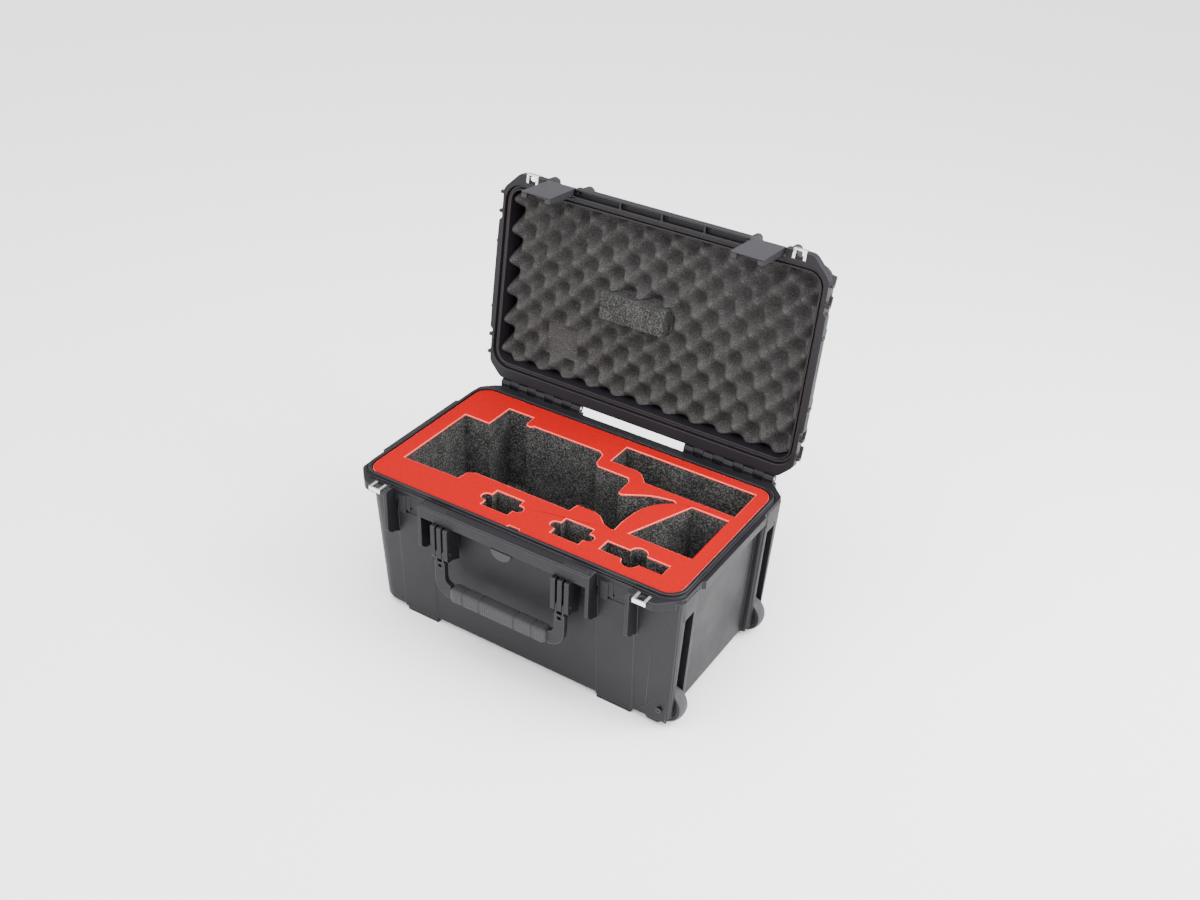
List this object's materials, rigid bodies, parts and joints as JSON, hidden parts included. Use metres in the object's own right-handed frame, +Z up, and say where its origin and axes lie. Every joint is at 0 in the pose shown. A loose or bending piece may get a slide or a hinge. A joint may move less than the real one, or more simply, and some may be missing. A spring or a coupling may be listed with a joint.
{
  "type": "wheeled hard carrying case",
  "caption": "Wheeled hard case with hinged lid, draw latches, drop handle, pull handle and a cut-out foam insert in red and grey.",
  "frame": {"origin": "centre of the flat underside of the base shell, 6 mm above the floor that the feet stand on", "axes": "+X along the length towards the wheels, +Y from the front handle towards the lid hinge, +Z up"},
  "size_m": [0.594, 0.4912, 0.6293],
  "materials": {
    "shell": "moulded charcoal plastic with a fine texture",
    "latch": "moulded dark grey plastic, satin",
    "top_foam": "laminated closed-cell foam, matt red",
    "grey_foam": "closed-cell foam, matt dark grey",
    "lid_foam": "open-cell foam with a wave profile, matt dark grey",
    "seal": "foamed rubber cord",
    "grip": "soft ribbed rubber",
    "wheel": "satin plastic",
    "tyre": "dark grey polyurethane",
    "stainless": "bright stainless",
    "tube": "anodised tube"
  },
  "bodies": {
    "base": {"base_shell": "shell", "base_padlock_plate_left": "stainless", "base_padlock_plate_right": "stainless", "hinge_pin_left": "stainless", "hinge_pin_right": "stainless", "foam_insert": "grey_foam", "foam_top_layer": "top_foam", "handle_mount": "shell", "handle_badge": "latch", "handle_pin_left": "stainless", "handle_pin_right": "stainless", "axle_screw_front": "stainless", "axle_screw_rear": "stainless", "pull_handle_cover": "shell", "cover_screw_1": "stainless", "cover_screw_2": "stainless", "cover_screw_3": "stainless", "cover_screw_4": "stainless", "pull_outer_tube_front": "tube", "pull_outer_tube_rear": "tube"},
    "lid": {"lid_shell": "shell", "lid_seal": "seal", "lid_foam": "lid_foam", "lid_foam_pad": "grey_foam", "lid_padlock_plate_left": "stainless", "lid_padlock_plate_right": "stainless", "latch_pin_left": "stainless", "latch_pin_right": "stainless"},
    "latch_left_body": {"latch_left": "latch"},
    "latch_right_body": {"latch_right": "latch"},
    "trigger_left": {"latch_trigger_left": "latch"},
    "trigger_right": {"latch_trigger_right": "latch"},
    "front_handle": {"handle_bail": "shell", "handle_grip": "grip"},
    "wheel_front": {"wheel_hub_front": "wheel", "wheel_tyre_front": "tyre"},
    "wheel_rear": {"wheel_hub_rear": "wheel", "wheel_tyre_rear": "tyre"},
    "pull_handle": {"pull_inner_tube_front": "tube", "pull_inner_tube_rear": "tube", "pull_grip": "shell"},
    "release_button": {"pull_release_button": "latch"}
  },
  "joints": [
    {"name": "lid_hinge", "type": "hinge", "parent": "base", "child": "lid", "pos_m": [0, 0.1876, 0.2545], "axis": [1, 0, 0], "range_deg": [0, 98.4]},
    {"name": "latch_left_hinge", "type": "hinge", "parent": "lid", "child": "latch_left_body", "pos_m": [-0.1846, 0.2392, 0.61078], "axis": [1, 0, 0], "range_deg": [-100, 6]},
    {"name": "trigger_left_hinge", "type": "hinge", "parent": "latch_left_body", "child": "trigger_left", "pos_m": [-0.1846, 0.225, 0.60936], "axis": [1, 0, 0], "range_deg": [-4, 0], "stiffness_Nm_per_rad": 0.5},
    {"name": "latch_right_hinge", "type": "hinge", "parent": "lid", "child": "latch_right_body", "pos_m": [0.1846, 0.2392, 0.61078], "axis": [1, 0, 0], "range_deg": [-100, 6]},
    {"name": "trigger_right_hinge", "type": "hinge", "parent": "latch_right_body", "child": "trigger_right", "pos_m": [0.1846, 0.225, 0.60936], "axis": [1, 0, 0], "range_deg": [-4, 0], "stiffness_Nm_per_rad": 0.5},
    {"name": "front_handle_hinge", "type": "hinge", "parent": "base", "child": "front_handle", "pos_m": [0, -0.1855, 0.181], "axis": [1, 0, 0], "range_deg": [-100, 10]},
    {"name": "wheel_front_spin", "type": "hinge", "parent": "base", "child": "wheel_front", "pos_m": [0.264, -0.1275, 0.03], "axis": [0, 1, 0], "continuous": true},
    {"name": "wheel_rear_spin", "type": "hinge", "parent": "base", "child": "wheel_rear", "pos_m": [0.264, 0.1275, 0.03], "axis": [0, 1, 0], "continuous": true},
    {"name": "pull_handle_slide", "type": "slide", "parent": "base", "child": "pull_handle", "axis": [-1, 0, 0], "range_m": [0, 0.28]},
    {"name": "release_button_press", "type": "slide", "parent": "pull_handle", "child": "release_button", "axis": [1, 0, 0], "range_m": [0, 0.003], "stiffness_N_per_m": 400}
  ]
}
